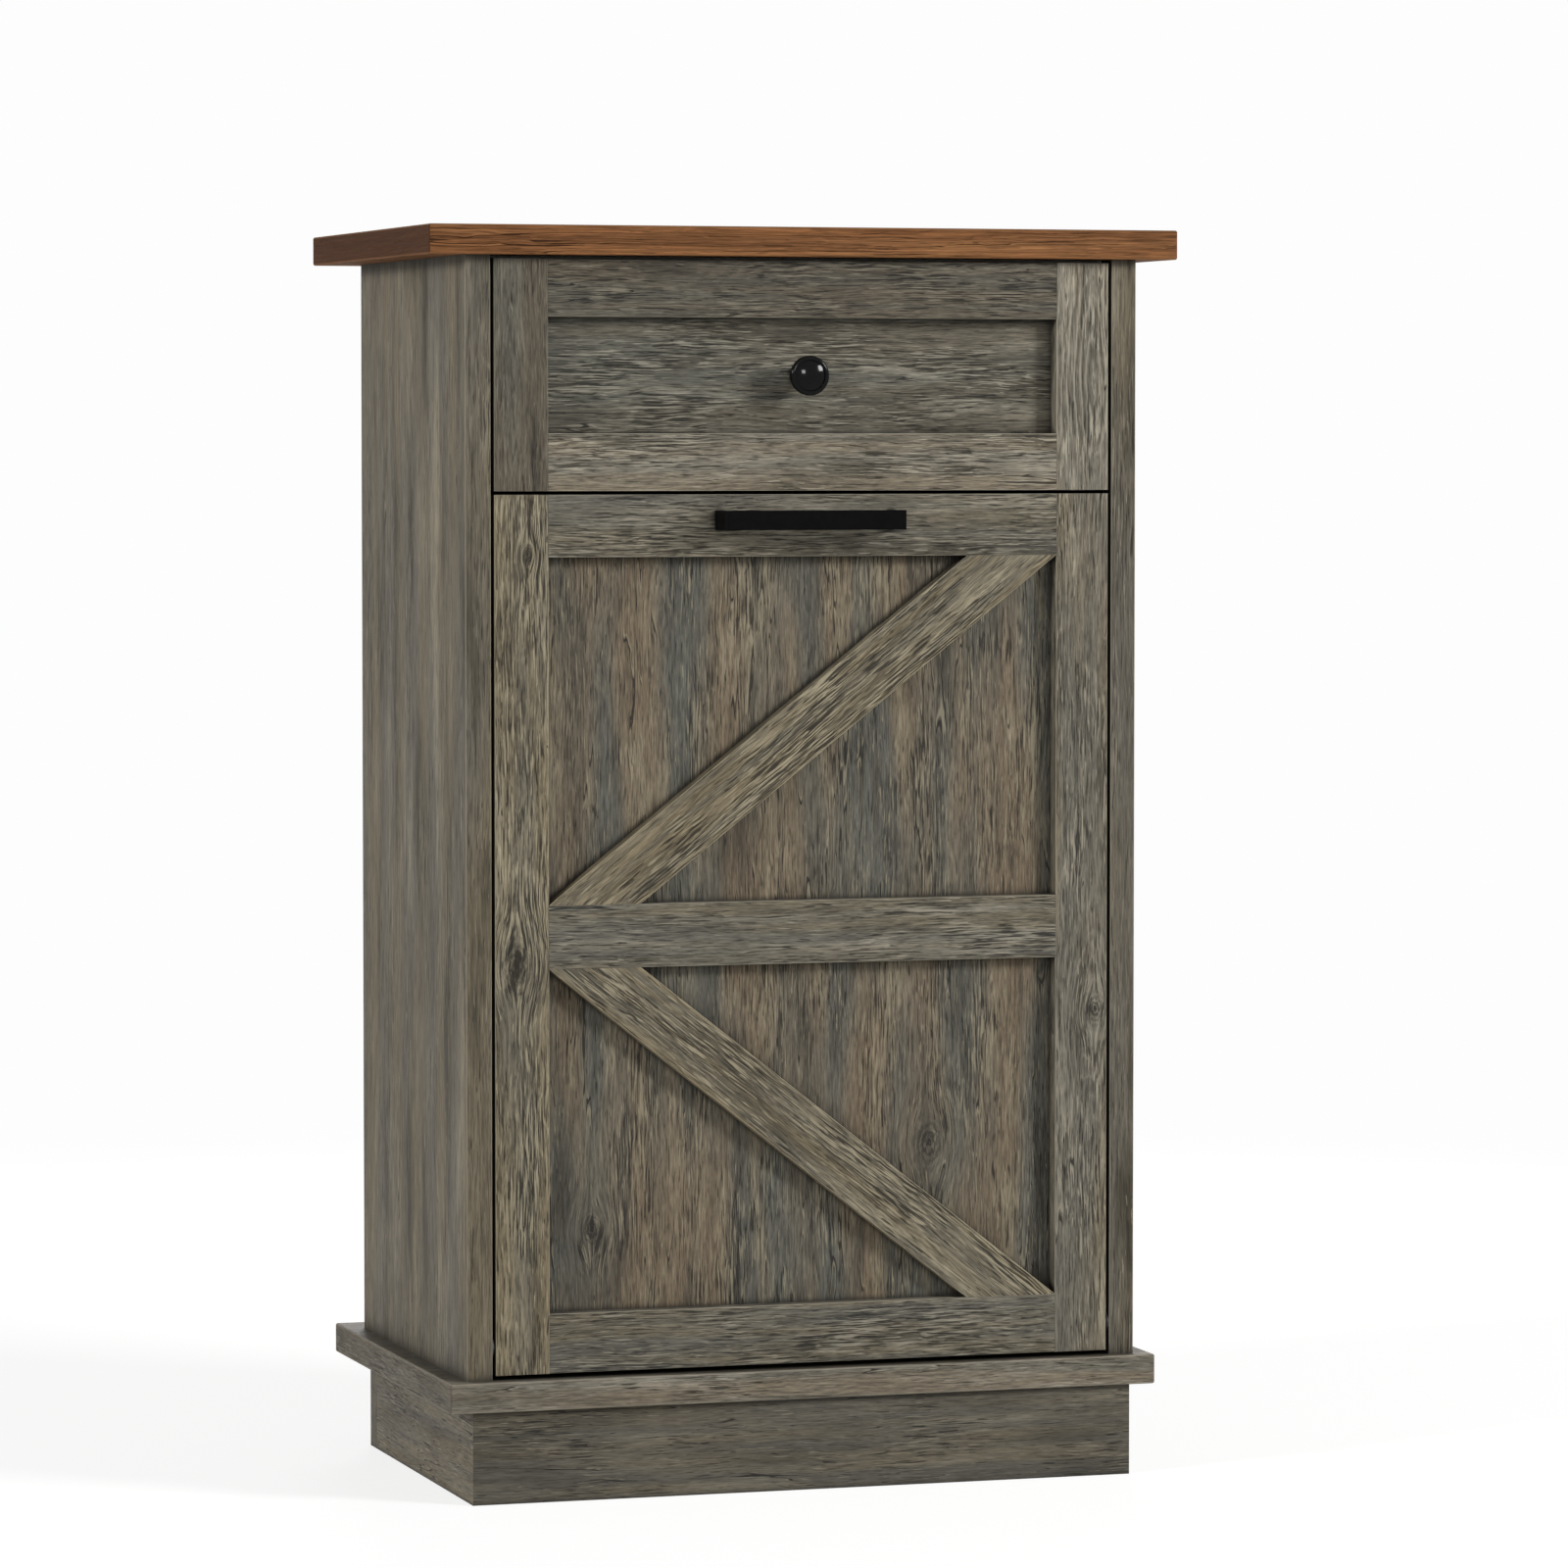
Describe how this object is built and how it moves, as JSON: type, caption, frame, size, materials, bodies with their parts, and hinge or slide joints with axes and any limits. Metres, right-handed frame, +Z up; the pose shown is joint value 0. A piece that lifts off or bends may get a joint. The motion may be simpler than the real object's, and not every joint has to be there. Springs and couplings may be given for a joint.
{
  "type": "tilt-out trash cabinet",
  "caption": "Narrow free-standing kitchen cabinet with a drawer on roller runners above a framed door that tilts out at its foot and carries a bin holder.",
  "frame": {"origin": "on the floor, below the middle of the whole cabinet's box, handle and overhangs included", "axes": "+X to the right as seen from the front, +Y to the back (the door faces -Y), +Z up"},
  "size_m": [0.555, 0.3644, 0.9],
  "materials": {
    "weathered_oak_laminate": "matt, embossed grain",
    "brown_oak_laminate": "matt, embossed grain",
    "inner_board": "melamine, satin",
    "hardboard": "matt",
    "pine_block": "sawn",
    "black_coated_steel": "satin powder coat",
    "black_enamelled_zinc": "gloss enamel",
    "runner_steel": "epoxy coat",
    "nylon": "moulded",
    "catch_plastic": "moulded",
    "zinc_casting": "as cast",
    "zinc_plated_steel": "bright zinc"
  },
  "bodies": {
    "cabinet": {"top_board": "brown_oak_laminate", "left_side_panel": "weathered_oak_laminate", "right_side_panel": "weathered_oak_laminate", "back_panel": "hardboard", "divider_shelf": "inner_board", "front_stretcher": "inner_board", "rear_stretcher": "inner_board", "ledge_board": "weathered_oak_laminate", "plinth_front": "weathered_oak_laminate", "plinth_left": "weathered_oak_laminate", "plinth_right": "weathered_oak_laminate", "plinth_back": "weathered_oak_laminate", "plinth_corner_blocks": "pine_block", "left_cabinet_runner": "runner_steel", "right_cabinet_runner": "runner_steel", "stay_guide_pins": "zinc_plated_steel", "pivot_bushings": "nylon", "magnetic_catch": "catch_plastic", "cam_locks": "zinc_casting", "cam_bolts": "zinc_plated_steel", "cabinet_runner_screws": "zinc_plated_steel", "back_panel_screws": "zinc_plated_steel"},
    "drawer": {"drawer_front_panel": "weathered_oak_laminate", "drawer_left_stile": "weathered_oak_laminate", "drawer_right_stile": "weathered_oak_laminate", "drawer_top_rail": "weathered_oak_laminate", "drawer_bottom_rail": "weathered_oak_laminate", "drawer_left_side": "inner_board", "drawer_right_side": "inner_board", "drawer_box_front": "inner_board", "drawer_back": "inner_board", "drawer_bottom": "hardboard", "drawer_knob": "black_enamelled_zinc", "knob_screw": "zinc_plated_steel", "left_drawer_runner": "runner_steel", "right_drawer_runner": "runner_steel", "drawer_runner_screws": "zinc_plated_steel", "drawer_screws": "zinc_plated_steel"},
    "front_left_roller": {"front_left_roller": "nylon"},
    "front_right_roller": {"front_right_roller": "nylon"},
    "rear_left_roller": {"rear_left_roller": "nylon"},
    "rear_right_roller": {"rear_right_roller": "nylon"},
    "tilt_door": {"door_panel": "weathered_oak_laminate", "door_left_stile": "weathered_oak_laminate", "door_right_stile": "weathered_oak_laminate", "door_top_rail": "weathered_oak_laminate", "door_mid_rail": "weathered_oak_laminate", "door_bottom_rail": "weathered_oak_laminate", "door_upper_brace": "weathered_oak_laminate", "door_lower_brace": "weathered_oak_laminate", "door_handle": "black_coated_steel", "handle_screws": "zinc_plated_steel", "holder_left_side": "inner_board", "holder_right_side": "inner_board", "holder_shelf": "inner_board", "holder_rear_rail": "inner_board", "pivot_pins": "zinc_plated_steel", "quadrant_stays": "zinc_plated_steel", "strike_plate": "zinc_plated_steel", "holder_screws": "zinc_plated_steel"}
  },
  "joints": [
    {"name": "drawer_slide", "type": "slide", "parent": "cabinet", "child": "drawer", "axis": [0, -1, 0], "range_m": [0, 0.19]},
    {"name": "door_tilt", "type": "hinge", "parent": "cabinet", "child": "tilt_door", "pos_m": [0, -0.14775, 0.111], "axis": [1, 0, 0], "range_deg": [0, 30]},
    {"name": "front_left_roller_spin", "type": "hinge", "parent": "cabinet", "child": "front_left_roller", "pos_m": [-0.2244, -0.12175, 0.7275], "axis": [1, 0, 0], "range_deg": [0, 1281]},
    {"name": "front_right_roller_spin", "type": "hinge", "parent": "cabinet", "child": "front_right_roller", "pos_m": [0.2244, -0.12175, 0.7275], "axis": [1, 0, 0], "range_deg": [0, 1281]},
    {"name": "rear_left_roller_spin", "type": "hinge", "parent": "drawer", "child": "rear_left_roller", "pos_m": [-0.2244, 0.10425, 0.7272], "axis": [1, 0, 0], "range_deg": [0, 1281]},
    {"name": "rear_right_roller_spin", "type": "hinge", "parent": "drawer", "child": "rear_right_roller", "pos_m": [0.2244, 0.10425, 0.7272], "axis": [1, 0, 0], "range_deg": [0, 1281]}
  ],
  "couplings": [
    {"joint": "front_left_roller_spin", "follows": "drawer_slide", "rad_per_m": 117.65},
    {"joint": "front_right_roller_spin", "follows": "drawer_slide", "rad_per_m": 117.65},
    {"joint": "rear_left_roller_spin", "follows": "drawer_slide", "rad_per_m": 117.65},
    {"joint": "rear_right_roller_spin", "follows": "drawer_slide", "rad_per_m": 117.65}
  ]
}
